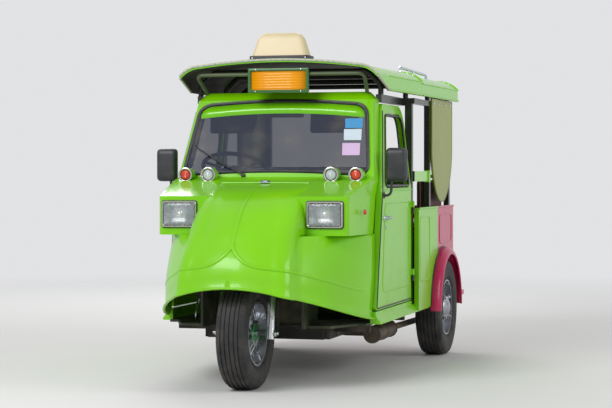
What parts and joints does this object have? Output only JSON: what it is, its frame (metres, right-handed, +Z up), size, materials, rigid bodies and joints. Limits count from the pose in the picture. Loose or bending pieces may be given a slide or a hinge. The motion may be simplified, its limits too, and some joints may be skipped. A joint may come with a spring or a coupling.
{
  "type": "auto rickshaw",
  "caption": "Three-wheeled taxi with a bulging nose, rear-hinged driver's doors, a raised canopy and an open rear cabin with side benches.",
  "frame": {"origin": "on the ground at the middle of the length and the width", "axes": "+Z up, the front faces -Y, the vehicle's left side is +X"},
  "size_m": [1.33, 2.7, 1.752],
  "materials": {
    "green_paint": "glossy, a little dusty",
    "green_canopy": "glossy",
    "magenta_paint": "glossy",
    "black_rubber": "satin",
    "clear_glass": "polished, grey tint",
    "black_plastic": "satin",
    "dark_tube": "satin",
    "sign_plastic": "satin",
    "board_paint": "satin",
    "chrome": "polished",
    "yellow_board": "satin",
    "chassis_paint": "matte, road dirt",
    "floor_paint": "matte, scuffed",
    "cast_alloy": "as cast",
    "exhaust_steel": "heat stained",
    "axle_iron": "matte",
    "tyre_rubber": "worn, dusty",
    "rim_steel": "dulled",
    "fork_steel": "polished",
    "lamp_bright": "bright",
    "clear_lens": "fluted",
    "amber_lens": "translucent",
    "red_lens": "translucent",
    "mirror_glass": "polished",
    "dash_plastic": "grained",
    "seat_base_paint": "satin",
    "seat_vinyl": "grained, satin",
    "plate_metal": "satin, blank"
  },
  "bodies": {
    "chassis": {"nose_shell": "green_paint", "cab_shell": "green_paint", "windscreen_seal": "black_rubber", "windscreen_glass": "clear_glass", "canopy_front": "green_canopy", "canopy_rear": "green_canopy", "canopy_bows": "dark_tube", "roof_sign": "sign_plastic", "route_board": "board_paint", "roof_rails": "chrome", "cabin_posts": "green_paint", "side_boards": "yellow_board", "rear_fenders": "magenta_paint", "tail_panel": "magenta_paint", "side_panels": "green_paint", "chassis_frame": "chassis_paint", "floor_pan": "floor_paint", "engine_block": "cast_alloy", "fuel_tank": "chassis_paint", "exhaust": "exhaust_steel", "rear_axle": "axle_iron", "steering_column": "chassis_paint", "lamp_frames": "lamp_bright", "clear_lamps": "clear_lens", "amber_lamps": "amber_lens", "tail_lamps": "red_lens", "wiper": "black_plastic", "interior_mirror": "mirror_glass", "dashboard": "dash_plastic", "driver_seat_box": "seat_base_paint", "cabin_bulkhead": "seat_base_paint", "driver_pads": "seat_vinyl", "bench_boxes": "seat_base_paint", "bench_pads": "seat_vinyl", "rear_step": "magenta_paint", "number_plate": "plate_metal"},
    "fork": {"front_fork": "fork_steel"},
    "front_wheel": {"front_tyre": "tyre_rubber", "front_rim": "rim_steel"},
    "rear_wheel_left": {"rear_left_tyre": "tyre_rubber", "rear_rim_left": "rim_steel"},
    "rear_wheel_right": {"rear_right_tyre": "tyre_rubber", "rear_rim_right": "rim_steel"},
    "left_door": {"door_left": "green_paint", "door_fittings_left": "black_plastic"},
    "right_door": {"door_right": "green_paint", "door_fittings_right": "black_plastic"},
    "hand_wheel": {"steering_wheel": "black_plastic"}
  },
  "joints": [
    {"name": "steer", "type": "hinge", "parent": "chassis", "child": "fork", "pos_m": [0, -1.005, 0.27], "axis": [0, 0.2079, 0.9781], "range_deg": [-38, 38]},
    {"name": "front_wheel_spin", "type": "hinge", "parent": "fork", "child": "front_wheel", "pos_m": [0, -1.05, 0.27], "axis": [1, 0, 0], "continuous": true},
    {"name": "rear_wheel_left_spin", "type": "hinge", "parent": "chassis", "child": "rear_wheel_left", "pos_m": [0.54, 0.9, 0.27], "axis": [1, 0, 0], "continuous": true},
    {"name": "rear_wheel_right_spin", "type": "hinge", "parent": "chassis", "child": "rear_wheel_right", "pos_m": [-0.54, 0.9, 0.27], "axis": [1, 0, 0], "continuous": true},
    {"name": "left_door_swing", "type": "hinge", "parent": "chassis", "child": "left_door", "pos_m": [0.554, 0.19, 0.65], "axis": [0, 0, 1], "range_deg": [0, 70]},
    {"name": "right_door_swing", "type": "hinge", "parent": "chassis", "child": "right_door", "pos_m": [-0.554, 0.19, 0.65], "axis": [0, 0, -1], "range_deg": [0, 70]},
    {"name": "hand_wheel_turn", "type": "hinge", "parent": "chassis", "child": "hand_wheel", "pos_m": [-0.292, -0.285, 1.052], "axis": [0, 0.5, 0.866], "range_deg": [-190, 190]}
  ],
  "couplings": [
    {"joint": "hand_wheel_turn", "follows": "steer", "ratio": 5}
  ]
}
